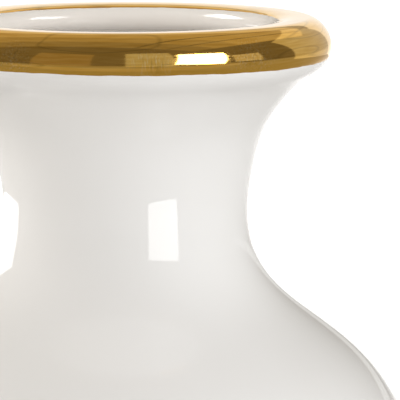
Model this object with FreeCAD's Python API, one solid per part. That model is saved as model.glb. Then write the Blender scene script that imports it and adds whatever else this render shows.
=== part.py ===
import FreeCAD, Part
import os

# Baluster vase in hard porcelain with a thick, rolled and gilded lip. Millimetres, +Z up,
# origin at the centre of the foot, on the surface that the vase stands on.
# The body is formed as five rings, luted together with slip at stepped joints and fired into
# one. The glaze and the gilding are coats over them, and each coat is a solid of its own.

Vector = FreeCAD.Vector

# Driving dimensions
HEIGHT = 272.0                # foot to the crown of the lip
CROWN_RADIUS = 46.5           # highest circle of the lip
BODY_RADIUS = 75.6            # just above the widest circle, at the shoulder
BODY_DEPTH = 117.0            # how far below the crown that circle lies
FOOT_RADIUS = 43.0            # outer edge of the standing ring
FOOT_RING_WIDTH = 5.5         # outer edge to the recess, across the standing face
FOOT_EDGE_ROUND = 0.6         # rounding of the standing ring's two edges
BARE_FOOT = 1.6               # height of the unglazed band beside the standing face
RECESS_HEIGHT = 5.0           # depth of the recess inside the foot ring
RECESS_DOME = 1.2             # extra rise of the recess at its centre
FLOOR_THICKNESS = 7.0         # from the recess to the inside, at the centre
WALL = 4.5                    # thickness from the lip down to the shoulder
WALL_AT_FOOT = 7.5            # the wall thickens from the shoulder to here
GLAZE = 0.35                  # fired glaze
GILDING = 0.15                # burnished gold over the glaze
JOINT_STEP = 3.0              # height of the tongue at each luted joint

# Heights of the luted joints, as depths below the crown
LIP_JOINT_DEPTH = 22.0
NECK_JOINT_DEPTH = 57.0
SHOULDER_JOINT_DEPTH = 118.0
BELLY_JOINT_DEPTH = 236.0

# Gilding: over the lip from a circle inside it to a level on its outside, and a foot line
LIP_GILDING_INNER_RADIUS = 39.4
LIP_GILDING_INNER_DEPTH = 3.0
LIP_GILDING_LOWER_DEPTH = 9.3
FOOT_GILDING_BOTTOM = 2.6
FOOT_GILDING_TOP = 5.4

# Outer outline, from the crown down to the foot: (radius, depth below the crown)
LIP_OUTSIDE = [(CROWN_RADIUS, 0.0), (50.7, 2.4), (52.5, 7.5), (50.9, 11.6)]
NECK_OUTSIDE = [(46.3, 15.0), (41.1, 20.0), (35.6, 28.0), (32.6, 38.0), (31.3, 49.0), (33.0, 60.0)]
SHOULDER_OUTSIDE = [(38.8, 69.0), (50.8, 79.0), (63.5, 90.0), (BODY_RADIUS, BODY_DEPTH)]
BELLY_OUTSIDE = [(71.2, 148.0), (58.0, 188.0), (44.6, 223.0)]
FOOT_OUTSIDE = [(39.0, 246.0), (40.3, 261.0), (FOOT_RADIUS, HEIGHT - BARE_FOOT)]

# Inner outline of the lip, up to the crown: the flare's inner wall, a groove under the lip's
# overhang, then the overhanging bead
LIP_INSIDE = [(37.7, 17.2), (42.0, 12.8), (42.8, 9.4), (40.0, 7.0), (37.3, 6.1), (36.5, 4.3),
              (37.7, 1.8), (41.0, 0.3), (CROWN_RADIUS, 0.0)]

# Inside of the floor, as (radius, height above the floor's centre)
FLOOR_INSIDE = [(0.0, 0.0), (12.0, 0.4), (22.0, 2.4), (28.5, 7.0)]

# Recess under the base, as (distance in from the foot ring, height)
RECESS_OUTLINE = [(0.2, BARE_FOOT), (1.2, 3.6), (4.5, RECESS_HEIGHT), (18.0, 5.9)]

FAR = 200.0                   # beyond every surface of the vase
RING_INNER_RADIUS = FOOT_RADIUS - FOOT_RING_WIDTH
RECESS_CENTRE_HEIGHT = RECESS_HEIGHT + RECESS_DOME
FLOOR_HEIGHT = RECESS_CENTRE_HEIGHT + FLOOR_THICKNESS

UP = Vector(0, 0, 1)
DOWN = Vector(0, 0, -1)
OUTWARD = Vector(1, 0, 0)
INWARD = Vector(-1, 0, 0)


# Outlines. Every outline lies in the XZ half-plane and is travelled with the porcelain on its
# right-hand side, so that a positive shift always goes into the porcelain.

def spot(radius, height):
    return Vector(radius, 0, height)


def from_crown(outline):
    """(radius, depth) pairs as points."""
    return [spot(radius, HEIGHT - depth) for radius, depth in outline]


def smooth_curve(points, first_direction, last_direction):
    """Curvature-continuous curve through the points, measured along its chords."""
    distances = [0.0]
    for start, end in zip(points, points[1:]):
        distances.append(distances[-1] + start.distanceToPoint(end))
    curve = Part.BSplineCurve()
    curve.interpolate(Points=points, Parameters=distances, InitialTangent=first_direction,
                      FinalTangent=last_direction, Scale=False)
    return curve


def shifted_curve(points, first_direction, last_direction, distance):
    """The smooth curve through the points, moved sideways to the right of its travel."""
    curve = smooth_curve(points, first_direction, last_direction)
    moved = [moved_aside(curve, point, distance) for point in points]
    return smooth_curve(moved, first_direction, last_direction)


def moved_aside(curve, point, distance):
    tangent = curve.tangent(curve.parameter(point))[0]
    return spot(point.x + tangent.z * distance, point.z - tangent.x * distance)


def outer_stations():
    return from_crown(LIP_OUTSIDE + NECK_OUTSIDE + SHOULDER_OUTSIDE + BELLY_OUTSIDE + FOOT_OUTSIDE)


def wall_thickness(height):
    """Constant above the shoulder, then growing evenly to the foot."""
    body_height = HEIGHT - BODY_DEPTH
    below = max(0.0, body_height - height) / body_height
    return WALL + (WALL_AT_FOOT - WALL) * below


def parallel_stations():
    """Inside of the wall from above the floor up to the neck, at the wall's thickness."""
    outer = smooth_curve(outer_stations(), OUTWARD, DOWN)
    followed = from_crown(NECK_OUTSIDE[2:] + SHOULDER_OUTSIDE + BELLY_OUTSIDE + FOOT_OUTSIDE[:1])
    inside = [moved_aside(outer, point, wall_thickness(point.z)) for point in followed]
    return list(reversed(inside))


def inner_stations():
    floor = [spot(radius, FLOOR_HEIGHT + rise) for radius, rise in FLOOR_INSIDE]
    return floor + parallel_stations() + from_crown(LIP_INSIDE)


def recess_stations():
    recess = [spot(RING_INNER_RADIUS - inset, height) for inset, height in RECESS_OUTLINE]
    return list(reversed(recess + [spot(0.0, RECESS_CENTRE_HEIGHT)]))


def inner_edge(shift):
    """Floor's centre to the crown."""
    return shifted_curve(inner_stations(), OUTWARD, OUTWARD, shift).toShape()


def outer_edge(shift):
    """Crown to the top of the bare foot."""
    return shifted_curve(outer_stations(), OUTWARD, DOWN, shift).toShape()


def recess_edge(shift):
    """Standing ring to the centre of the recess."""
    stations = list(reversed(recess_stations()))
    return shifted_curve(stations, UP, INWARD, shift).toShape()


# Faces of the cross-section

def start_of(edge):
    return edge.valueAt(edge.FirstParameter)


def end_of(edge):
    return edge.valueAt(edge.LastParameter)


def polygon_face(corners):
    return Part.Face(Part.makePolygon(corners + corners[:1]))


def closed_face(edges):
    return Part.Face(Part.Wire(Part.__sortEdges__(edges)))


def coat_face(near_shift, far_shift, edge_makers):
    """Band between two shifts of one continuous line of edges."""
    near = [make_edge(near_shift) for make_edge in edge_makers]
    far = [make_edge(far_shift) for make_edge in edge_makers]
    first_end = Part.makeLine(start_of(near[0]), start_of(far[0]))
    last_end = Part.makeLine(end_of(near[-1]), end_of(far[-1]))
    return closed_face(near + far + [first_end, last_end])


def standing_ring_edges(outer_radius, inner_radius):
    """Bare sides, rounded edges and flat standing face of the foot ring."""
    turn = FOOT_EDGE_ROUND
    corner = turn * (1.0 - 0.5 ** 0.5)
    outer_arc = Part.Arc(spot(outer_radius, turn), spot(outer_radius - corner, corner),
                         spot(outer_radius - turn, 0.0))
    inner_arc = Part.Arc(spot(inner_radius + turn, 0.0), spot(inner_radius + corner, corner),
                         spot(inner_radius, turn))
    return [
        Part.makeLine(spot(outer_radius, BARE_FOOT), spot(outer_radius, turn)),
        outer_arc.toShape(),
        Part.makeLine(spot(outer_radius - turn, 0.0), spot(inner_radius + turn, 0.0)),
        inner_arc.toShape(),
        Part.makeLine(spot(inner_radius, turn), spot(inner_radius, BARE_FOOT)),
    ]


def porcelain_face():
    """Cross-section of the whole body beneath its glaze."""
    inner = inner_edge(GLAZE)
    outer = outer_edge(GLAZE)
    recess = recess_edge(GLAZE)
    ring = standing_ring_edges(end_of(outer).x, start_of(recess).x)
    axis = Part.makeLine(end_of(recess), start_of(inner))
    return closed_face([inner, outer] + ring + [recess, axis])


def wall_middle(face, height):
    """Radius halfway through the wall at a height."""
    level = Part.makeLine(spot(0.0, height), spot(FAR, height))
    return face.common(level).BoundBox.Center.x


def joint_line(face, depth):
    """Stepped joint from the axis outwards: the lower ring's tongue is on the inside."""
    height = HEIGHT - depth
    middle = wall_middle(face, height)
    return [spot(0.0, height + JOINT_STEP), spot(middle, height + JOINT_STEP),
            spot(middle, height), spot(FAR, height)]


def level_line(height):
    return [spot(0.0, height), spot(FAR, height)]


def section_face(face, upper_line, lower_line):
    """The part of the wall between two joints."""
    return face.common(polygon_face(upper_line + list(reversed(lower_line))))


def lip_gilding_face():
    """Gold from just inside the crown, over it, to the lip's outer underside."""
    top = HEIGHT + GILDING + 1.0
    reach = polygon_face([
        spot(LIP_GILDING_INNER_RADIUS, top),
        spot(FAR, top),
        spot(FAR, HEIGHT - LIP_GILDING_LOWER_DEPTH),
        spot(CROWN_RADIUS, HEIGHT - LIP_GILDING_LOWER_DEPTH),
        spot(CROWN_RADIUS, HEIGHT - LIP_GILDING_INNER_DEPTH),
        spot(LIP_GILDING_INNER_RADIUS, HEIGHT - LIP_GILDING_INNER_DEPTH),
    ])
    return coat_face(-GILDING, 0.0, [inner_edge, outer_edge]).common(reach)


def foot_gilding_face():
    """Thin gold line round the outside of the foot."""
    reach = polygon_face([
        spot(RING_INNER_RADIUS, FOOT_GILDING_BOTTOM),
        spot(FAR, FOOT_GILDING_BOTTOM),
        spot(FAR, FOOT_GILDING_TOP),
        spot(RING_INNER_RADIUS, FOOT_GILDING_TOP),
    ])
    return coat_face(-GILDING, 0.0, [outer_edge]).common(reach)


def turned(face):
    """Solid of revolution about the vase's axis."""
    solid = face.Faces[0].revolve(Vector(0, 0, 0), UP, 360.0)
    return solid.Solids[0] if solid.Solids else Part.Solid(solid)


def body_sections():
    """The five rings of the body, from the lip down."""
    face = porcelain_face()
    names = ["lip_ring", "neck_section", "shoulder_section", "belly_section", "base_section"]
    depths = [LIP_JOINT_DEPTH, NECK_JOINT_DEPTH, SHOULDER_JOINT_DEPTH, BELLY_JOINT_DEPTH]
    joints = [joint_line(face, depth) for depth in depths]
    lines = [level_line(FAR + HEIGHT)] + joints + [level_line(-1.0)]
    sections = {}
    for name, upper_line, lower_line in zip(names, lines, lines[1:]):
        sections[name] = turned(section_face(face, upper_line, lower_line))
    return sections


def coats():
    return {
        "glaze_coat": turned(coat_face(0.0, GLAZE, [inner_edge, outer_edge])),
        "underside_glaze": turned(coat_face(0.0, GLAZE, [recess_edge])),
        "lip_gilding": turned(lip_gilding_face()),
        "foot_gilding": turned(foot_gilding_face()),
    }


def build_vase():
    os.makedirs("parts", exist_ok=True)
    for name, solid in {**body_sections(), **coats()}.items():
        solid.exportStep("parts/" + name + ".step")


build_vase()
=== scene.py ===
"""Looks of the porcelain vase: a baluster body in white glaze with a thick, gilded, rolled lip."""
import math
import bpy
import numpy as np
from mathutils import Matrix, Vector


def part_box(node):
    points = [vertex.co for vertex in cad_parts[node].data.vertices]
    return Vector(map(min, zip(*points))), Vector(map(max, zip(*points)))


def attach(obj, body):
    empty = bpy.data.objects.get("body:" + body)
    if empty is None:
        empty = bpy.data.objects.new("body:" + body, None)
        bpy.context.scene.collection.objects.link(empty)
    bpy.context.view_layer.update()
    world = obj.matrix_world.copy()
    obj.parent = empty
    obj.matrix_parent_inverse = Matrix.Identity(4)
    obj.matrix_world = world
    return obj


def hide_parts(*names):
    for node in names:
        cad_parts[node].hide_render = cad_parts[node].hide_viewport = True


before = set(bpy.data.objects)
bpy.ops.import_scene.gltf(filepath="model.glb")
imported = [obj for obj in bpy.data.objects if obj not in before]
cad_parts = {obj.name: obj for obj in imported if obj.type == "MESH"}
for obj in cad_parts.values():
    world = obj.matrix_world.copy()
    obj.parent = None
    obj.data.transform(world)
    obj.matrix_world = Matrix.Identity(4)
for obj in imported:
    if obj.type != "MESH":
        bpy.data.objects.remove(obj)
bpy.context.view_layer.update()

MM = 0.001                                   # metres in a millimetre
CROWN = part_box("glaze_coat")[1].z / MM       # height of the lip's crown above the standing face
BARE_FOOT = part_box("glaze_coat")[0].z / MM   # the glaze starts this far above the standing face

# Driving dimensions, in millimetres
CROWN_RADIUS = 46.5
LIP_RADIUS = 52.5
BODY_RADIUS = 75.6
BODY_DEPTH = 117.0
FOOT_RADIUS = 43.0
FOOT_RING_WIDTH = 5.5
FOOT_EDGE_ROUND = 0.6
RECESS_HEIGHT = 5.0
RECESS_CENTRE_HEIGHT = 6.2
FLOOR_HEIGHT = 13.2
WALL = 4.5
WALL_AT_FOOT = 7.5
GLAZE = 0.35
GILDING = 0.12               # a little less than the CAD's, so that it stays inside it
JOINT_STEP = 3.0
LIP_JOINT_DEPTH = 22.0
NECK_JOINT_DEPTH = 57.0
SHOULDER_JOINT_DEPTH = 118.0
BELLY_JOINT_DEPTH = 236.0
LIP_GILDING_INNER_REACH = 7.4    # along the surface from the crown
LIP_GILDING_LOWER_DEPTH = 9.3
FOOT_GILDING_BOTTOM = 2.6
FOOT_GILDING_TOP = 5.4

# Outlines as (radius, depth below the crown). The outside runs from the crown down to the foot.
OUTSIDE = [
    (CROWN_RADIUS, 0.0), (50.7, 2.4), (LIP_RADIUS, 7.5), (50.9, 11.6),
    (46.3, 15.0), (41.1, 20.0), (35.6, 28.0), (32.6, 38.0), (31.3, 49.0), (33.0, 60.0),
    (38.8, 69.0), (50.8, 79.0), (63.5, 90.0), (BODY_RADIUS, BODY_DEPTH),
    (71.2, 148.0), (58.0, 188.0), (44.6, 223.0), (39.0, 246.0), (40.3, 261.0),
    (FOOT_RADIUS, CROWN - BARE_FOOT),
]
FIRST_FOLLOWED = 6           # the inside of the wall runs parallel to these stations of OUTSIDE
LAST_FOLLOWED = 17

# The inside of the lip runs from the flare's inner wall, round a groove and a bead, to the crown
LIP_INSIDE = [
    (37.7, 17.2), (42.0, 12.8), (42.8, 9.4), (40.0, 7.0), (37.3, 6.1), (36.5, 4.3),
    (37.7, 1.8), (41.0, 0.3), (CROWN_RADIUS, 0.0),
]
FLOOR_INSIDE = [(0.0, 0.0), (12.0, 0.4), (22.0, 2.4), (28.5, 7.0)]        # radius, rise
RECESS = [(0.2, BARE_FOOT), (1.2, 3.6), (4.5, RECESS_HEIGHT), (18.0, 5.9)]    # inset, height

OUTWARD = (1.0, 0.0)
INWARD = (-1.0, 0.0)
UP = (0.0, 1.0)
DOWN = (0.0, -1.0)
SEARCH_STEPS = 4000          # fineness of the search for a height along an outline


# ------------------------------------------------------------------------------ outlines

class Outline:
    """Curvature-continuous curve through points, measured along its chords, in millimetres.

    It is travelled with the porcelain on its right-hand side."""

    def __init__(self, points, first_direction, last_direction):
        self.points = np.array(points, float)
        steps = np.hypot(*np.diff(self.points, axis=0).T)
        self.knots = np.concatenate([[0.0], np.cumsum(steps)])
        self.length = self.knots[-1]
        self.slopes = self.solve_slopes(steps, first_direction, last_direction)

    def solve_slopes(self, steps, first_direction, last_direction):
        """Directions at the points that let the curvature run on through each of them."""
        count = len(self.points)
        system = np.eye(count)
        wanted = np.zeros((count, 2))
        wanted[0] = first_direction
        wanted[-1] = last_direction
        rises = np.diff(self.points, axis=0) / steps[:, None]
        for i in range(1, count - 1):
            before, after = steps[i - 1], steps[i]
            system[i, i - 1:i + 2] = after, 2.0 * (before + after), before
            wanted[i] = 3.0 * (after * rises[i - 1] + before * rises[i])
        return np.linalg.solve(system, wanted)

    def at(self, where):
        """Points and unit directions at distances along the chords."""
        where = np.clip(np.asarray(where, float), 0.0, self.length)
        i = np.clip(np.searchsorted(self.knots, where, side="right") - 1, 0, len(self.knots) - 2)
        step = (self.knots[i + 1] - self.knots[i])[..., None]
        t = (where - self.knots[i])[..., None] / step
        start, end = self.points[i], self.points[i + 1]
        leave, arrive = self.slopes[i] * step, self.slopes[i + 1] * step
        place = start * (2 * t ** 3 - 3 * t ** 2 + 1) + leave * (t ** 3 - 2 * t ** 2 + t)
        place = place + end * (3 * t ** 2 - 2 * t ** 3) + arrive * (t ** 3 - t ** 2)
        heading = (start - end) * (6 * t ** 2 - 6 * t) + leave * (3 * t ** 2 - 4 * t + 1)
        heading = heading + arrive * (3 * t ** 2 - 2 * t)
        return place, heading / np.linalg.norm(heading, axis=-1, keepdims=True)

    def shifted(self, where, distance=0.0):
        """Points moved sideways into the porcelain; a negative distance is away from it."""
        place, heading = self.at(where)
        right = np.stack([heading[..., 1], -heading[..., 0]], axis=-1)
        return place + right * np.asarray(distance, float)[..., None]

    def where_at_height(self, height, start=0.0, end=None):
        """First distance along the chords at which the outline passes a height."""
        where = np.linspace(start, self.length if end is None else end, SEARCH_STEPS)
        above = self.at(where)[0][:, 1] > height
        return where[np.flatnonzero(above[1:] != above[:-1])[0]]


def from_crown(stations):
    return [(radius, CROWN - depth) for radius, depth in stations]


def wall_thickness(height):
    """Constant above the widest circle, then growing evenly to the foot."""
    body_height = CROWN - BODY_DEPTH
    return WALL + (WALL_AT_FOOT - WALL) * np.maximum(0.0, body_height - height) / body_height


def inside_of_wall(outer):
    """Stations of the inside from above the floor up to the flare."""
    where = outer.knots[FIRST_FOLLOWED:LAST_FOLLOWED + 1]
    heights = outer.at(where)[0][:, 1]
    return list(outer.shifted(where, wall_thickness(heights)))[::-1]


def make_inner(outer):
    floor = [(radius, FLOOR_HEIGHT + rise) for radius, rise in FLOOR_INSIDE]
    return Outline(floor + inside_of_wall(outer) + from_crown(LIP_INSIDE), OUTWARD, OUTWARD)


def make_recess():
    ring_inner = FOOT_RADIUS - FOOT_RING_WIDTH
    stations = [(ring_inner - inset, height) for inset, height in RECESS]
    return Outline(stations + [(0.0, RECESS_CENTRE_HEIGHT)], UP, INWARD)


OUTER = Outline(from_crown(OUTSIDE), OUTWARD, DOWN)     # crown to the top of the bare foot
INNER = make_inner(OUTER)                               # floor's centre to the crown
UNDER = make_recess()                                   # bare foot to the centre of the recess


# ------------------------------------------------------------------------------ meshes

BODY_SEGMENTS = 192
GILDING_SEGMENTS = 480
HIDDEN_SEGMENTS = 96
SHARP_ANGLE = 0.6            # edges that turn by more than this, in radians, stay crisp
ON_AXIS = 1e-6               # a point nearer to the axis than this lies on it


def spread(start, end, spacing):
    """Evenly spaced distances from start to end, at about the spacing."""
    return np.linspace(start, end, max(2, int(math.ceil(abs(end - start) / spacing)) + 1))


def join_lines(*lines):
    """One line from several, with no point twice where two of them meet."""
    return np.concatenate([lines[0]] + [line[1:] for line in lines[1:]])


def new_piece(name, vertices, faces):
    mesh = bpy.data.meshes.new(name)
    mesh.from_pydata(vertices, [], faces)
    mesh.validate()
    mesh.shade_smooth()
    mesh.set_sharp_from_angle(angle=SHARP_ANGLE)
    piece = bpy.data.objects.new(name, mesh)
    bpy.context.collection.objects.link(piece)
    return piece


def ring_faces(rings):
    """Quads between neighbouring rings of a closed loop, and triangles where a ring is a point."""
    faces = []
    for near, far in zip(rings, rings[1:] + rings[:1]):
        for i in range(len(near)):
            corners = [near[i - 1], far[i - 1], far[i], near[i]]
            corners = [corner for k, corner in enumerate(corners) if corner != corners[k - 1]]
            if len(corners) > 2:
                faces.append(corners)
    return faces


def lathe(name, loops):
    """Closed ring or disc from loops of (radius, height) in millimetres, one for each azimuth.

    The loops stand evenly round the axis, and a point on the axis becomes one vertex."""
    segments = len(loops)
    vertices, rings = [], []
    for k, (first_radius, first_height) in enumerate(loops[0]):
        if first_radius < ON_AXIS:
            rings.append([len(vertices)] * segments)
            vertices.append((0.0, 0.0, first_height * MM))
            continue
        rings.append(list(range(len(vertices), len(vertices) + segments)))
        for i, loop in enumerate(loops):
            angle = 2.0 * math.pi * i / segments
            radius, height = loop[k] * MM
            vertices.append((radius * math.sin(angle), -radius * math.cos(angle), height))
    return new_piece(name, vertices, ring_faces(rings))


def stands_for(piece, node, material):
    """A piece in place of one CAD node. Nothing moves, so every piece rides on the one body."""
    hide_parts(node)
    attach(piece, "root")
    piece.data.materials.append(material)
    return piece


# ------------------------------------------------------------------------------ porcelain rings

FINE = 1.0                   # spacing of points where a surface can be seen
COARSE = 3.0                 # and where another piece hides it
EDGE_ROUND_STEPS = 6
LIP_START = INNER.knots[-len(LIP_INSIDE)]    # the inside of the wall ends and the lip's begins


def wall_line(outline, start_height, end_height, start=0.0, end=None):
    """The porcelain's surface, beneath the glaze, between two heights."""
    first = outline.where_at_height(start_height, start, end)
    last = outline.where_at_height(end_height, start, end)
    return outline.shifted(spread(first, last, COARSE), GLAZE)


def outer_wall(top, bottom):
    return wall_line(OUTER, top, bottom, start=OUTER.knots[1])


def inner_wall(bottom, top):
    return wall_line(INNER, bottom, top, end=LIP_START + COARSE)


def joint_steps(depth):
    """Stepped joint from the outside inwards: the lower ring's tongue is on the inside."""
    height = CROWN - depth
    outer_radius = OUTER.shifted(OUTER.where_at_height(height, OUTER.knots[1]), GLAZE)[0]
    inner_radius = INNER.shifted(INNER.where_at_height(height, end=LIP_START + COARSE), GLAZE)[0]
    middle = (outer_radius + inner_radius) / 2.0
    return np.array([(middle, height), (middle, height + JOINT_STEP)])


def middle_ring_loop(upper_depth, lower_depth):
    top, bottom = CROWN - upper_depth, CROWN - lower_depth
    return np.concatenate([
        outer_wall(top, bottom),
        joint_steps(lower_depth),
        inner_wall(bottom + JOINT_STEP, top + JOINT_STEP),
        joint_steps(upper_depth)[::-1],
    ])


def lip_ring_loop():
    bottom = CROWN - LIP_JOINT_DEPTH
    outer_end = OUTER.where_at_height(bottom)
    inner_start = INNER.where_at_height(bottom + JOINT_STEP, end=LIP_START + COARSE)
    return np.concatenate([
        OUTER.shifted(spread(0.0, outer_end, FINE), GLAZE),
        joint_steps(LIP_JOINT_DEPTH),
        INNER.shifted(spread(inner_start, INNER.length, FINE), GLAZE)[:-1],
    ])


def rounded_corner(centre_radius, start_turn):
    """Quarter round of the standing ring's edge, turning clockwise from an angle."""
    angles = start_turn - np.linspace(0.0, math.pi / 2.0, EDGE_ROUND_STEPS)
    return np.stack([centre_radius + FOOT_EDGE_ROUND * np.cos(angles),
                     FOOT_EDGE_ROUND + FOOT_EDGE_ROUND * np.sin(angles)], axis=-1)


def base_ring_loop():
    top = CROWN - BELLY_JOINT_DEPTH
    outer_line = outer_wall(top, BARE_FOOT + COARSE)
    bare_outer = OUTER.shifted(OUTER.length, GLAZE)
    recess = UNDER.shifted(spread(0.0, UNDER.length, FINE), GLAZE)
    floor_end = INNER.where_at_height(top + JOINT_STEP, end=LIP_START)
    return np.concatenate([
        outer_line,
        bare_outer[None],
        rounded_corner(bare_outer[0] - FOOT_EDGE_ROUND, 0.0),
        rounded_corner(recess[0, 0] + FOOT_EDGE_ROUND, -math.pi / 2.0),
        recess,
        INNER.shifted(spread(0.0, floor_end, COARSE), GLAZE),
        joint_steps(BELLY_JOINT_DEPTH)[::-1],
    ])


def make_porcelain_rings(material):
    loops = {
        "lip_ring": lip_ring_loop(),
        "neck_section": middle_ring_loop(LIP_JOINT_DEPTH, NECK_JOINT_DEPTH),
        "shoulder_section": middle_ring_loop(NECK_JOINT_DEPTH, SHOULDER_JOINT_DEPTH),
        "belly_section": middle_ring_loop(SHOULDER_JOINT_DEPTH, BELLY_JOINT_DEPTH),
        "base_section": base_ring_loop(),
    }
    for node, loop in loops.items():
        segments = BODY_SEGMENTS if node == "base_section" else HIDDEN_SEGMENTS
        stands_for(lathe(node + "_porcelain", [loop] * segments), node, material)


# ------------------------------------------------------------------------------ glaze

LIP_ARC = 30.0               # length of outline on each side of the crown that is drawn finely
LIP_SPACING = 0.6
OUTSIDE_SPACING = 2.0
BACK_STEP = 3                # the back of a coat has one point for this many of its front


def coat_loop(lines, thickness):
    """Closed loop round a coat, from the distances along each outline that it covers.

    The back of the coat lies on the porcelain, out of sight, so fewer points are enough there."""
    near = join_lines(*[outline.shifted(where) for outline, where in lines])
    far = join_lines(*[outline.shifted(where, thickness) for outline, where in lines])
    thinned = np.concatenate([far[:-1:BACK_STEP], far[-1:]])
    return np.concatenate([near, thinned[::-1]])


def make_glaze(material):
    inner = join_lines(spread(0.0, INNER.length - LIP_ARC, COARSE),
                       spread(INNER.length - LIP_ARC, INNER.length, LIP_SPACING))
    outer = join_lines(spread(0.0, LIP_ARC, LIP_SPACING),
                       spread(LIP_ARC, OUTER.length, OUTSIDE_SPACING))
    body_loop = coat_loop([(INNER, inner), (OUTER, outer)], GLAZE)
    body = lathe("glaze_coat_skin", [body_loop] * BODY_SEGMENTS)
    recess_loop = coat_loop([(UNDER, spread(0.0, UNDER.length, FINE))], GLAZE)
    recess = lathe("underside_glaze_skin", [recess_loop] * BODY_SEGMENTS)
    return [stands_for(body, "glaze_coat", material),
            stands_for(recess, "underside_glaze", material)]


# ------------------------------------------------------------------------------ gilding

EDGE_FADE = 0.35             # the gold reaches its full thickness this far from its edges
EDGE_START = 0.05            # share of the fade at which the edge begins, so that it isn't bare
EDGE_SAG = 0.7               # how far the lip's gold hangs too low, most at this azimuth
EDGE_SAG_AZIMUTH = math.radians(60.0)
EDGE_SAG_POWER = 4           # the higher, the narrower the sag
WOBBLES = [(3, 0.05), (8, 0.05), (19, 0.045), (41, 0.03), (77, 0.02)]    # waves round, reach in mm
LIP_INNER_POINTS = 18
LIP_OUTER_POINTS = 34
FOOT_POINTS = 12
LIP_GILDING_END = OUTER.where_at_height(CROWN - LIP_GILDING_LOWER_DEPTH)


def hand_wobble(angle, seed):
    """How far the brush strays from its line at an azimuth, in millimetres."""
    turns = np.random.default_rng(seed).uniform(0.0, 2.0 * math.pi, len(WOBBLES))
    return sum(reach * math.sin(waves * angle + turn)
               for (waves, reach), turn in zip(WOBBLES, turns))


def gilding_loop(lines):
    """Closed loop round the gold on the distances that it covers, thin at both of its edges."""
    near = join_lines(*[outline.shifted(where) for outline, where in lines])
    travel = np.concatenate([[0.0], np.cumsum(np.hypot(*np.diff(near, axis=0).T))])
    from_edge = np.minimum(travel, travel[-1] - travel)
    share = np.clip(from_edge / EDGE_FADE, EDGE_START, 1.0)
    rise = GILDING * np.sin(share * math.pi / 2.0)
    far, start = [], 0
    for outline, where in lines:
        far.append(outline.shifted(where, -rise[start:start + len(where)]))
        start += len(where) - 1
    return np.concatenate([join_lines(*far), near[::-1]])


def lip_gilding_loop(angle):
    inner_reach = LIP_GILDING_INNER_REACH + hand_wobble(angle, 1)
    sag = EDGE_SAG * (0.5 + 0.5 * math.cos(angle - EDGE_SAG_AZIMUTH)) ** EDGE_SAG_POWER
    lower_edge = LIP_GILDING_END + sag + hand_wobble(angle, 2)
    inner = np.linspace(INNER.length - inner_reach, INNER.length, LIP_INNER_POINTS)
    outer = np.linspace(0.0, lower_edge, LIP_OUTER_POINTS)
    return gilding_loop([(INNER, inner), (OUTER, outer)])


def foot_gilding_loop(angle):
    top = OUTER.length - (FOOT_GILDING_TOP - BARE_FOOT) + hand_wobble(angle, 3)
    bottom = OUTER.length - (FOOT_GILDING_BOTTOM - BARE_FOOT) + hand_wobble(angle, 4)
    return gilding_loop([(OUTER, np.linspace(top, bottom, FOOT_POINTS))])


def make_gilding(material):
    angles = [2.0 * math.pi * i / GILDING_SEGMENTS for i in range(GILDING_SEGMENTS)]
    lip = lathe("lip_gilding_leaf", [lip_gilding_loop(angle) for angle in angles])
    foot = lathe("foot_gilding_line", [foot_gilding_loop(angle) for angle in angles])
    return [stands_for(lip, "lip_gilding", material),
            stands_for(foot, "foot_gilding", material)]


# ------------------------------------------------------------------------------ materials

GLAZE_WARM = (0.80, 0.79, 0.778)
GLAZE_COOL = (0.812, 0.804, 0.797)
BARE_DARK = (0.70, 0.66, 0.60)
BARE_LIGHT = (0.78, 0.75, 0.70)
# the next two colours are the ends of the gold's streaks, which are brush streaks together with painted
# streaks of reflected light
GOLD_DEEP = (0.70, 0.41, 0.085)
GOLD_LIGHT = (0.80, 0.50, 0.135)
# the next colour is that of the pale specks: rubbed, thin gold, and beside the key light's highlight
# painted sheen of that light
GOLD_THIN_AND_SHEEN = (0.90, 0.74, 0.46)
GOLD_OVERLAP = (0.42, 0.26, 0.06)
# the next colour is painted shade for the gold's downward-turned lower band
GOLD_PAINTED_SHADE = (0.58, 0.32, 0.04)
FLOOR_DARK = (0.87, 0.87, 0.87)
FLOOR_LIGHT = (0.90, 0.90, 0.90)

GLAZE_ROUGHNESS = (0.035, 0.06)
BARE_ROUGHNESS = 0.7
GOLD_ROUGHNESS = (0.05, 0.09)
FLOOR_ROUGHNESS = 0.8
GLAZE_IOR = 1.5

# Marks in the surfaces, in millimetres: how large they are, and how deep where they are relief
GLAZE_CLOUD = 28.0
GLAZE_POLISH_PATCH = 9.0
GLAZE_WAVE, GLAZE_WAVE_DEPTH = 14.0, 0.03
GLAZE_RIPPLE, GLAZE_RIPPLE_DEPTH = 1.6, 0.0012
BARE_CLOUD = 6.0
BARE_GRAIN, BARE_GRAIN_DEPTH = 0.3, 0.03
GOLD_STREAK, GOLD_STREAK_DEPTH = 1.2, 0.0004
GOLD_STROKE = 10.0
GOLD_WAVE, GOLD_WAVE_DEPTH = 8.0, 0.014
GOLD_SPECKS = [(0.45, GOLD_THIN_AND_SHEEN), (0.6, GOLD_OVERLAP)]
FLOOR_CLOUD = 60.0

# Spans of a noise's values, which lie round 0.5
MOST_OF_NOISE = (0.3, 0.7)
STREAK_SPAN = (0.35, 0.65)
SPECK_SPAN = (0.5, 0.75)

# Places in the noise, which keep one pattern from following another
STROKE_SHIFT = 11.0
WAVE_SHIFT = 5.0

# How much of the gold's colour gives way to that of a mark
OVERLAP_SHARE = 0.5
SPECK_SHARE = 0.55
PAINTED_SHADE_SHARE = 0.85

# How far the marks in the gold are drawn out sideways and upwards: the streaks, which are brush streaks
# together with painted streaks of reflected light, and the brushstrokes
STREAK_STRETCH = (7.0, 7.0, 0.4)
STROKE_STRETCH = (3.0, 3.0, 0.3)
OVERLAP_HALF_WIDTH = 0.03    # in the stroke noise, whose middle value marks where two strokes overlap

PAINTED_SHADE_STARTS = 6.5     # depth below the crown at which painted shade begins to deepen the gold's colour
PAINTED_SHADE_ENDS = 9.6       # and at which it is deepest
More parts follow.
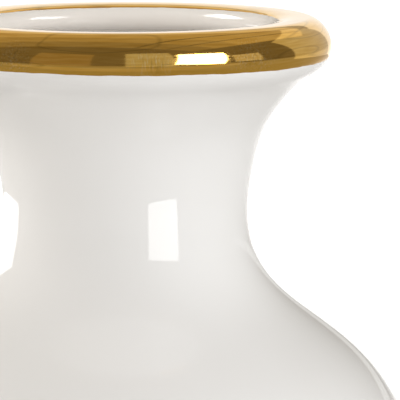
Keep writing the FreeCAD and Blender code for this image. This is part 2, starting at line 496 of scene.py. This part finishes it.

# Where the gold is rubbed: azimuth, depth below the crown, reach, and how its scratches are drawn out.
# The spots at 7 and 36 degrees flank the key light's highlight, and there the pale specks are painted
# sheen of that light as well as wear
WORN_AND_SHEEN_SPOTS = [
    (36.0, 8.0, 8.5, (1.0, 1.0, 1.0)),
    (-31.0, 7.0, 6.5, (1.0, 1.0, 1.0)),
    (7.0, 8.5, 6.5, (0.8, 0.8, 8.0)),
]
FULLY_WORN_AND_SHEEN = 0.4             # share of a spot's reach that is specked all over


class Surface:
    """Principled material whose textures are laid out on the object in metres."""

    def __init__(self, name):
        self.material = bpy.data.materials.new(name)
        self.material.use_nodes = True
        self.tree = self.material.node_tree
        self.shader = self.tree.nodes["Principled BSDF"]
        self.place = self.tree.nodes.new("ShaderNodeTexCoord").outputs["Object"]

    def set(self, name, value):
        self.shader.inputs[name].default_value = value

    def feed(self, name, value):
        self.tree.links.new(value, self.shader.inputs[name])

    def node(self, kind, inputs=(), **settings):
        """New node, with each of its inputs linked to a socket or set to a value."""
        node = self.tree.nodes.new(kind)
        for name, value in settings.items():
            setattr(node, name, value)
        for name, value in dict(inputs).items():
            if isinstance(value, bpy.types.NodeSocket):
                self.tree.links.new(value, node.inputs[name])
            else:
                node.inputs[name].default_value = value
        return node

    def noise(self, size, stretch=(1.0, 1.0, 1.0), detail=2.0, shift=0.0):
        """Noise from 0 to 1 whose lumps are about a size in millimetres, longer where stretched."""
        scale = [1.0 / (size * MM * along) for along in stretch]
        place = self.node("ShaderNodeMapping", {"Vector": self.place, "Scale": scale,
                                                "Location": (shift, shift, shift)})
        noise = self.node("ShaderNodeTexNoise", {"Vector": place.outputs["Vector"], "Scale": 1.0,
                                                 "Detail": detail})
        return noise.outputs["Fac"]

    def band(self, value, low, high, start=0.0, end=1.0):
        """The value mapped from low..high to start..end and held there."""
        band = self.node("ShaderNodeMapRange", {"Value": value, "From Min": low, "From Max": high,
                                                "To Min": start, "To Max": end})
        return band.outputs["Result"]

    def mix(self, share, first, second):
        """Colour between two, each of them a colour or a socket."""
        mix = self.node("ShaderNodeMix", data_type="RGBA")
        share_socket, first_socket, second_socket = mix.inputs[0], mix.inputs[6], mix.inputs[7]
        self.tree.links.new(share, share_socket)
        for socket, colour in ((first_socket, first), (second_socket, second)):
            if isinstance(colour, bpy.types.NodeSocket):
                self.tree.links.new(colour, socket)
            else:
                socket.default_value = (*colour, 1.0)
        return mix.outputs[2]

    def maths(self, operation, *values):
        return self.node("ShaderNodeMath", enumerate(values), operation=operation).outputs[0]

    def distance_to(self, point):
        away = self.node("ShaderNodeVectorMath", {0: self.place, 1: point}, operation="DISTANCE")
        return away.outputs["Value"]

    def bump(self, height, depth, under=None):
        """Relief with a depth in millimetres."""
        inputs = {"Height": height, "Distance": depth * MM, "Strength": 1.0}
        if under is not None:
            inputs["Normal"] = under
        return self.node("ShaderNodeBump", inputs).outputs["Normal"]


def glaze_material():
    """White glaze with faint warmer clouds, and slow waves in an almost level surface."""
    surface = Surface("white_glaze")
    clouds = surface.noise(GLAZE_CLOUD)
    surface.feed("Base Color", surface.mix(clouds, GLAZE_WARM, GLAZE_COOL))
    patches = surface.noise(GLAZE_POLISH_PATCH)
    surface.feed("Roughness", surface.band(patches, *MOST_OF_NOISE, *GLAZE_ROUGHNESS))
    surface.set("IOR", GLAZE_IOR)
    waves = surface.bump(surface.noise(GLAZE_WAVE, detail=1.0), GLAZE_WAVE_DEPTH)
    ripples = surface.noise(GLAZE_RIPPLE, detail=1.0)
    surface.feed("Normal", surface.bump(ripples, GLAZE_RIPPLE_DEPTH, under=waves))
    return surface.material


def porcelain_material():
    """Unglazed porcelain, matt and finely grained, as it shows on the standing ring."""
    surface = Surface("bare_porcelain")
    surface.feed("Base Color", surface.mix(surface.noise(BARE_CLOUD), BARE_DARK, BARE_LIGHT))
    surface.set("Roughness", BARE_ROUGHNESS)
    surface.feed("Normal", surface.bump(surface.noise(BARE_GRAIN, detail=4.0), BARE_GRAIN_DEPTH))
    return surface.material


def with_overlaps(surface, gold):
    """Darker lines where one brushstroke of gold ends on another."""
    strokes = surface.noise(GOLD_STROKE, stretch=STROKE_STRETCH, detail=0.0, shift=STROKE_SHIFT)
    off_line = surface.maths("ABSOLUTE", surface.maths("SUBTRACT", strokes, 0.5))
    overlap = surface.band(off_line, 0.0, OVERLAP_HALF_WIDTH, OVERLAP_SHARE, 0.0)
    return surface.mix(overlap, gold, GOLD_OVERLAP)


def with_worn_and_sheen_spots(surface, gold):
    """Pale and dark specks where the gold has been rubbed; beside the key light's highlight the pale
    specks are painted sheen of that light as well as wear.
    """
    for azimuth, depth, reach, grain in WORN_AND_SHEEN_SPOTS:
        centre = direction_to(azimuth, 0.0) * LIP_RADIUS * MM
        centre.z = (CROWN - depth) * MM
        worn_and_sheen = surface.band(surface.distance_to(centre), FULLY_WORN_AND_SHEEN * reach * MM, reach * MM, 1.0, 0.0)
        for size, colour in GOLD_SPECKS:
            specks = surface.noise(size, stretch=grain, detail=1.0, shift=size)
            specks = surface.band(specks, *SPECK_SPAN, 0.0, SPECK_SHARE)
            gold = surface.mix(surface.maths("MULTIPLY", specks, worn_and_sheen), gold, colour)
    return gold


def with_painted_lower_shade(surface, gold):
    """Painted shade: deeper colour towards the lower edge of the gold on the lip, where the roll turns
    downwards and mirrors the dark below the horizon.
    """
    height = surface.node("ShaderNodeSeparateXYZ", {"Vector": surface.place}).outputs["Z"]
    ends, starts = (CROWN - PAINTED_SHADE_ENDS) * MM, (CROWN - PAINTED_SHADE_STARTS) * MM
    return surface.mix(surface.band(height, ends, starts, PAINTED_SHADE_SHARE, 0.0), gold, GOLD_PAINTED_SHADE)


def gilding_material():
    """Burnished gold with streaks in its colour: streaks of the brush that laid it on, together with
    painted streaks of reflected light.
    """
    surface = Surface("brushed_gilding")
    streaks = surface.noise(GOLD_STREAK, stretch=STREAK_STRETCH, detail=3.0)
    # the streaks in the colour are brush streaks together with painted streaks of reflected light
    gold = surface.mix(surface.band(streaks, *STREAK_SPAN), GOLD_DEEP, GOLD_LIGHT)
    gold = with_overlaps(surface, gold)
    # rubbed spots; beside the key light's highlight their pale specks are also painted sheen of that
    # light
    gold = with_worn_and_sheen_spots(surface, gold)
    # painted shade: deeper colour on the gold's downward-turned lower band
    surface.feed("Base Color", with_painted_lower_shade(surface, gold))
    surface.feed("Roughness", surface.band(streaks, *MOST_OF_NOISE, *GOLD_ROUGHNESS))
    surface.set("Metallic", 1.0)
    waves = surface.bump(surface.noise(GOLD_WAVE, detail=1.0, shift=WAVE_SHIFT), GOLD_WAVE_DEPTH)
    surface.feed("Normal", surface.bump(streaks, GOLD_STREAK_DEPTH, under=waves))
    return surface.material


def floor_material():
    surface = Surface("pale_floor")
    surface.feed("Base Color", surface.mix(surface.noise(FLOOR_CLOUD), FLOOR_DARK, FLOOR_LIGHT))
    surface.set("Roughness", FLOOR_ROUGHNESS)
    return surface.material


# ------------------------------------------------------------------------------ studio

FLOOR_REACH = 8.0            # half the floor's width, in metres
WORLD_COLOUR = (1.0, 0.88, 0.69, 1.0)
WORLD_STRENGTH = 0.21

WHITE = (1.0, 1.0, 1.0)
COOL = (0.945, 0.97, 1.0)
PALE_BLUE = (0.88, 0.95, 1.0)
WARM = (1.0, 0.985, 0.96)
CREAM = (1.0, 0.87, 0.72)
ROSE = (1.0, 0.62, 0.36)
AMBER = (1.0, 0.75, 0.4)
AMBER_WHITE = (1.0, 0.85, 0.55)

# Upright panels: distance from the axis in metres, the azimuth that they face, the azimuths and
# elevations that they span in degrees, radiance, colour, and a roll in degrees.
# The elevations are as seen from a level on the axis, in millimetres.
GLAZE_LEVEL = 215.0
GLAZE_FILLS = {
    "key_fill": (0.7, 40, (15, 65), (-16, 37), 1.87, COOL, 0),
    "left_fill": (0.7, -105, (-132, -80), (-12, 53), 2.9, WARM, 0),
    "right_fill": (0.7, 95, (70, 125), (20, 64), 1.75, WHITE, 0),
    "low_left": (0.35, -105, (-145, -65), (-31, -12), 0.5, WARM, 0),
    "low_right": (0.35, 55, (20, 78), (-31, -12), 1.3, COOL, 0),
    "front_fill": (0.7, -18, (-50, 15), (-16, 36), 0.82, WHITE, 0),
}
GLAZE_REFLECTIONS = {
    "right_softbox": (0.35, 35, (20, 47), (-19.5, 17), 4.5, WHITE, 0),
    "left_softbox": (0.7, -118, (-165, -119), (-12.2, 14), 3.5, WHITE, 0),
    "backdrop_glow": (0.9, 180, (115, 245), (-3, 3), 0.5, WHITE, 0),
}
GOLD_LEVEL = 264.0
GOLD_REFLECTIONS = {
    "gold_key": (0.7, 42, (28, 56), (-4, 31.5), 12.0, WHITE, -7),
    "gold_haze": (0.7, 68, (60, 78), (-2, 20), 0.42, WHITE, 0),
    "gold_near_floor": (0.5, 0, (-65, 65), (-26, -14), 0.1, AMBER_WHITE, 0),
    "gold_tan": (0.7, 13, (0, 26.5), (-8, 40), 0.37, PALE_BLUE, 0),
    "gold_mid": (0.7, -35, (-51, -18), (-6, 36), 0.13, AMBER, 0),
    "gold_side": (0.8, 127, (104, 150), (-10, 38), 0.45, COOL, 0),
    "gold_back": (0.85, 180, (150, 256), (-10, 48), 0.32, COOL, 0),
    "gold_crown": (0.75, 180, (150, 210), (-10, 24), 0.65, COOL, 0),
}

# Small lamps at the mouth, in metres: size, place, the point that they face, radiance, colour
MOUTH_FILLS = {
    "mouth_fill": ((0.08, 0.03), (0.0, -0.02, 0.302), (0.0, 0.04, 0.266), 1.5, CREAM),
    "throat_fill": ((0.05, 0.02), (0.0, -0.02, 0.262), (0.0, 0.04, 0.252), 0.35, ROSE),
}
MOUTH_REFLECTIONS = {
    "right_glint": ((0.036, 0.022), (0.043, 0.018, 0.325), (-0.022, 0.030, 0.269), 8.0, WHITE),
    "left_glint": ((0.036, 0.022), (-0.028, 0.050, 0.325), (0.026, 0.027, 0.269), 8.0, WHITE),
}

# The ceiling over the gold, in metres: its strips from left to right, and where its layers begin
CEILING_STRIPS = [(-0.9, 0.15), (0.17, 0.34), (0.36, 0.6)]
CEILING_FRONTS = [-0.33, -0.12, 0.1]
CEILING_BACK = 1.1
CEILING_HEIGHT = 0.85
CEILING_LAYER_GAP = 0.01
CEILING_TURN = -18.0
CEILING_RADIANCE = 0.12

# Lamps straight above the floor, in metres: size, place, radiance
FLOOR_LAMPS = {
    "floor_light": ((7.0, 7.0), (0.0, 1.2, 1.3), 0.38),
    "floor_strip": ((0.76, 4.2), (0.08, 2.72, 0.35), 1.55),
}


def make_floor():
    reach = FLOOR_REACH
    corners = [(-reach, -reach, 0.0), (reach, -reach, 0.0), (reach, reach, 0.0), (-reach, reach, 0.0)]
    floor = new_piece("studio_floor", corners, [(0, 1, 2, 3)])
    floor.data.materials.append(floor_material())
    return floor


def direction_to(azimuth, elevation):
    """Unit vector; azimuth 0 is towards the camera and grows to the camera's right, in degrees."""
    around, up = math.radians(azimuth), math.radians(elevation)
    return Vector((math.sin(around) * math.cos(up), -math.cos(around) * math.cos(up), math.sin(up)))


def aim(thing, direction):
    thing.rotation_euler = direction.to_track_quat("-Z", "Y").to_euler()


def soft_lamp(name, size, place, towards, radiance, colour, only, diffuse=True, glossy=True, roll=0.0):
    """Flat rectangular lamp of an even radiance, which lights only the pieces it is given."""
    light = bpy.data.lights.new(name, "AREA")
    light.shape = "RECTANGLE"
    light.size, light.size_y = size
    light.energy = radiance * math.pi * size[0] * size[1]
    light.color = colour
    lamp = bpy.data.objects.new(name, light)
    bpy.context.collection.objects.link(lamp)
    lamp.location = place
    aim(lamp, towards)
    lamp.rotation_euler.rotate_axis("Z", math.radians(roll))
    lamp.visible_camera = False
    lamp.visible_diffuse = diffuse
    lamp.visible_glossy = glossy
    receivers = bpy.data.collections.new(name + "_lights")
    for piece in only:
        receivers.objects.link(piece)
    lamp.light_linking.receiver_collection = receivers


def make_panels(panels, level, only, **seen_by):
    """Upright lamps that fill spans of directions, seen from a level on the vase's axis.

    Each stands square to the azimuth that it faces, and its elevations are those it has there."""
    for name, (distance, facing, azimuths, elevations, radiance, colour, roll) in panels.items():
        left, right = [distance * math.tan(math.radians(azimuth - facing)) for azimuth in azimuths]
        bottom, top = [distance * math.tan(math.radians(elevation)) for elevation in elevations]
        middle = Vector((0.0, 0.0, level * MM + (bottom + top) / 2.0))
        place = middle + direction_to(facing, 0.0) * distance
        place += direction_to(facing + 90.0, 0.0) * (left + right) / 2.0
        soft_lamp(name, (right - left, top - bottom), place, direction_to(facing + 180.0, 0.0),
                  radiance, colour, only, roll=roll, **seen_by)


def make_mouth_lamps(lamps, only, **seen_by):
    for name, (size, place, target, radiance, colour) in lamps.items():
        place = Vector(place)
        soft_lamp(name, size, place, Vector(target) - place, radiance, colour, only, **seen_by)


def make_glaze_lights(glazed):
    """Soft light on the porcelain that it doesn't mirror, and what it mirrors that doesn't light it."""
    make_panels(GLAZE_FILLS, GLAZE_LEVEL, glazed, glossy=False)
    make_mouth_lamps(MOUTH_FILLS, glazed, glossy=False)
    make_panels(GLAZE_REFLECTIONS, GLAZE_LEVEL, glazed, diffuse=False)
    make_mouth_lamps(MOUTH_REFLECTIONS, glazed, diffuse=False)


def make_ceiling(gilded):
    """Overhead strips with dark gaps between them, which together grow brighter towards the back."""
    turn = Matrix.Rotation(math.radians(CEILING_TURN), 4, "Z")
    for layer, front in enumerate(CEILING_FRONTS):
        height = CEILING_HEIGHT + layer * CEILING_LAYER_GAP
        for strip, (left, right) in enumerate(CEILING_STRIPS):
            size = (right - left, CEILING_BACK - front)
            middle = Vector(((left + right) / 2.0, (front + CEILING_BACK) / 2.0, height))
            soft_lamp(f"ceiling_{layer}_{strip}", size, turn @ middle, direction_to(0, -90),
                      CEILING_RADIANCE, AMBER_WHITE, gilded, roll=CEILING_TURN)


def make_gold_lights(gilded):
    """The studio as the gold mirrors it: a softbox, dimmer panels round it, and a ceiling."""
    make_panels(GOLD_REFLECTIONS, GOLD_LEVEL, gilded)
    make_ceiling(gilded)


def make_floor_lights(floor):
    """Dim light over the whole floor, and more on the strip behind the vase."""
    for name, (size, place, radiance) in FLOOR_LAMPS.items():
        soft_lamp(name, size, place, direction_to(0, -90), radiance, WHITE, [floor], glossy=False)


def make_world():
    world = bpy.data.worlds.new("studio")
    bpy.context.scene.world = world
    world.use_nodes = True
    background = world.node_tree.nodes["Background"]
    background.inputs["Color"].default_value = WORLD_COLOUR
    background.inputs["Strength"].default_value = WORLD_STRENGTH
    bpy.context.scene.view_settings.view_transform = "Standard"


# ------------------------------------------------------------------------------ camera

CAMERA_DISTANCE = 14.0 * LIP_RADIUS * MM      # from the vase's axis, on the level
CAMERA_ABOVE_CROWN = 1.203 * LIP_RADIUS * MM
CAMERA_TURN = 1.484                           # to the right of the axis, in degrees
CAMERA_DIP = 8.531                            # below the horizon, in degrees
CAMERA_LENS = 260.6
CAMERA_SENSOR = 36.0
CAMERA_REACH = (0.01, 50.0)                   # nearest and furthest thing seen, in metres


def make_camera():
    data = bpy.data.cameras.new("camera")
    data.lens = CAMERA_LENS
    data.sensor_width = CAMERA_SENSOR
    data.clip_start, data.clip_end = CAMERA_REACH
    camera = bpy.data.objects.new("camera", data)
    bpy.context.collection.objects.link(camera)
    camera.location = (0.0, -CAMERA_DISTANCE, CROWN * MM + CAMERA_ABOVE_CROWN)
    aim(camera, direction_to(180.0 - CAMERA_TURN, -CAMERA_DIP))
    bpy.context.scene.camera = camera


# ------------------------------------------------------------------------------ scene

glazed_pieces = make_glaze(glaze_material())
gilded_pieces = make_gilding(gilding_material())
make_porcelain_rings(porcelain_material())
studio_floor = make_floor()
make_glaze_lights(glazed_pieces)
make_gold_lights(gilded_pieces)
make_floor_lights(studio_floor)
make_world()
make_camera()
